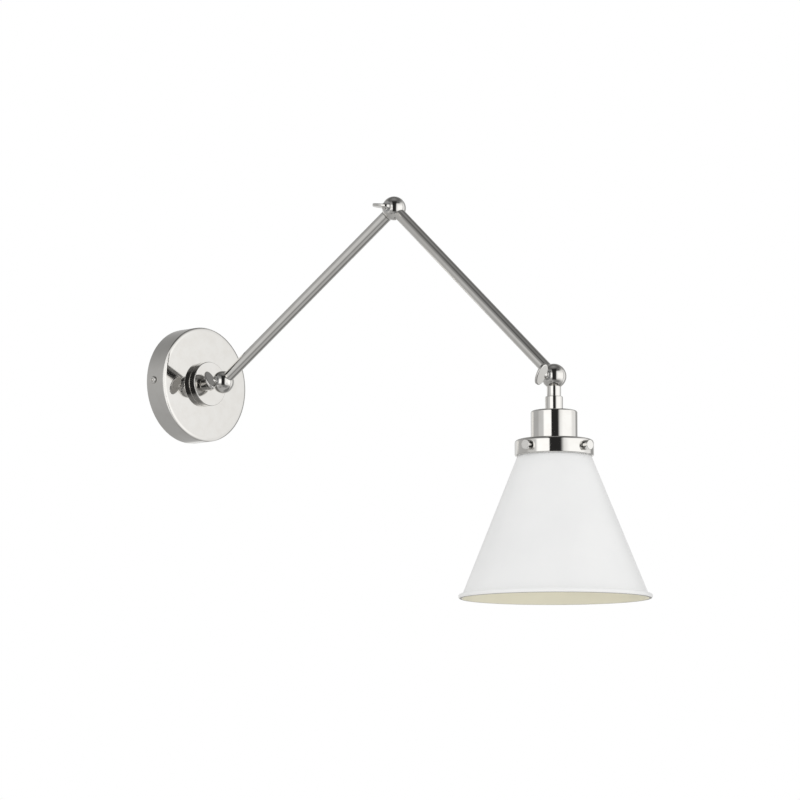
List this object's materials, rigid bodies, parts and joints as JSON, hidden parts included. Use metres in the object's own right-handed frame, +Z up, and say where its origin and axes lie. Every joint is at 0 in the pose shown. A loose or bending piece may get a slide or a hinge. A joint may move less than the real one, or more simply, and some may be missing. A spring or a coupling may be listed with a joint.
{
  "type": "articulating wall lamp",
  "caption": "Wall lamp with a round wall plate, two tube arms on ball knuckles with wing screws, and a conical metal shade on a screwed ring.",
  "frame": {"origin": "centre of the canopy's open back, on the wall", "axes": "+Z up; +Y into the wall, so the lamp reaches out along -Y; the knuckle screws lie along X"},
  "size_m": [0.191, 0.6192, 0.4324],
  "materials": {
    "polished_nickel": "polished",
    "shade_enamel": "satin",
    "zinc_steel": "satin",
    "green_zinc": "gloss",
    "porcelain": "gloss",
    "brass": "satin",
    "friction_fibre": "matte",
    "lead_sleeve": "satin"
  },
  "bodies": {
    "wall_plate": {"crossbar": "zinc_steel", "ground_screw": "green_zinc", "canopy": "polished_nickel", "canopy_side_screws": "polished_nickel", "swivel_base": "polished_nickel", "swivel_lock_nut": "zinc_steel"},
    "swivel": {"swivel_stem": "polished_nickel", "swivel_spring_washer": "zinc_steel", "swivel_stop_washer": "zinc_steel", "swivel_circlip": "zinc_steel", "stem_leads": "lead_sleeve", "base_friction_ring": "friction_fibre"},
    "lower_arm": {"lower_arm_tube": "polished_nickel", "lower_arm_base_knuckle": "polished_nickel", "lower_arm_elbow_knuckle": "polished_nickel", "lower_arm_leads": "lead_sleeve", "base_spring_washer": "zinc_steel", "elbow_spring_washer": "zinc_steel"},
    "upper_arm": {"upper_arm_tube": "polished_nickel", "upper_arm_elbow_knuckle": "polished_nickel", "upper_arm_head_knuckle": "polished_nickel", "upper_arm_leads": "lead_sleeve", "elbow_friction_ring": "friction_fibre", "head_friction_ring": "friction_fibre"},
    "lamp_head": {"head_knuckle": "polished_nickel", "head_spring_washer": "zinc_steel", "neck_collar": "polished_nickel", "head_nipple": "zinc_steel", "head_leads": "lead_sleeve", "socket_cup": "polished_nickel", "cup_nut": "zinc_steel", "fitter_ring": "polished_nickel", "shade": "shade_enamel", "lamp_holder_body": "porcelain", "lamp_holder_screw_shell": "brass", "lamp_holder_contact": "brass"},
    "base_wing": {"base_wing_screw": "polished_nickel"},
    "elbow_wing": {"elbow_wing_screw": "polished_nickel"},
    "head_wing": {"head_wing_screw": "polished_nickel"},
    "thumb_left": {"shade_screw_left": "polished_nickel"},
    "thumb_right": {"shade_screw_right": "polished_nickel"},
    "thumb_front": {"shade_screw_front": "polished_nickel"},
    "thumb_back": {"shade_screw_back": "polished_nickel"}
  },
  "joints": [
    {"name": "swivel_turn", "type": "hinge", "parent": "wall_plate", "child": "swivel", "pos_m": [0, 0, 0], "axis": [0, -1, 0], "range_deg": [-157, 157]},
    {"name": "base_tilt", "type": "hinge", "parent": "swivel", "child": "lower_arm", "pos_m": [0, -0.0542, 0], "axis": [-1, 0, 0], "range_deg": [-120, 57]},
    {"name": "elbow_fold", "type": "hinge", "parent": "lower_arm", "child": "upper_arm", "pos_m": [0, -0.3091, 0.16008], "axis": [-1, 0, 0], "range_deg": [-43, 190]},
    {"name": "head_tilt", "type": "hinge", "parent": "upper_arm", "child": "lamp_head", "pos_m": [0, -0.52369, -0.03898], "axis": [-1, 0, 0], "range_deg": [-66, 160]},
    {"name": "base_wing_turn", "type": "hinge", "parent": "swivel", "child": "base_wing", "pos_m": [0, -0.0542, 0], "axis": [-1, 0, 0], "range_deg": [-20, 340]},
    {"name": "elbow_wing_turn", "type": "hinge", "parent": "upper_arm", "child": "elbow_wing", "pos_m": [0, -0.3091, 0.16008], "axis": [-1, 0, 0], "range_deg": [-20, 340]},
    {"name": "head_wing_turn", "type": "hinge", "parent": "upper_arm", "child": "head_wing", "pos_m": [0, -0.52369, -0.03898], "axis": [-1, 0, 0], "range_deg": [-20, 340]},
    {"name": "thumb_right_turn", "type": "hinge", "parent": "lamp_head", "child": "thumb_right", "pos_m": [0.0391, -0.52369, -0.11088], "axis": [1, 0, 0], "range_deg": [-20, 340]},
    {"name": "thumb_front_turn", "type": "hinge", "parent": "lamp_head", "child": "thumb_front", "pos_m": [0, -0.56279, -0.11088], "axis": [0, -1, 0], "range_deg": [-20, 340]},
    {"name": "thumb_left_turn", "type": "hinge", "parent": "lamp_head", "child": "thumb_left", "pos_m": [-0.0391, -0.52369, -0.11088], "axis": [-1, 0, 0], "range_deg": [-20, 340]},
    {"name": "thumb_back_turn", "type": "hinge", "parent": "lamp_head", "child": "thumb_back", "pos_m": [0, -0.48459, -0.11088], "axis": [0, 1, 0], "range_deg": [-20, 340]}
  ]
}
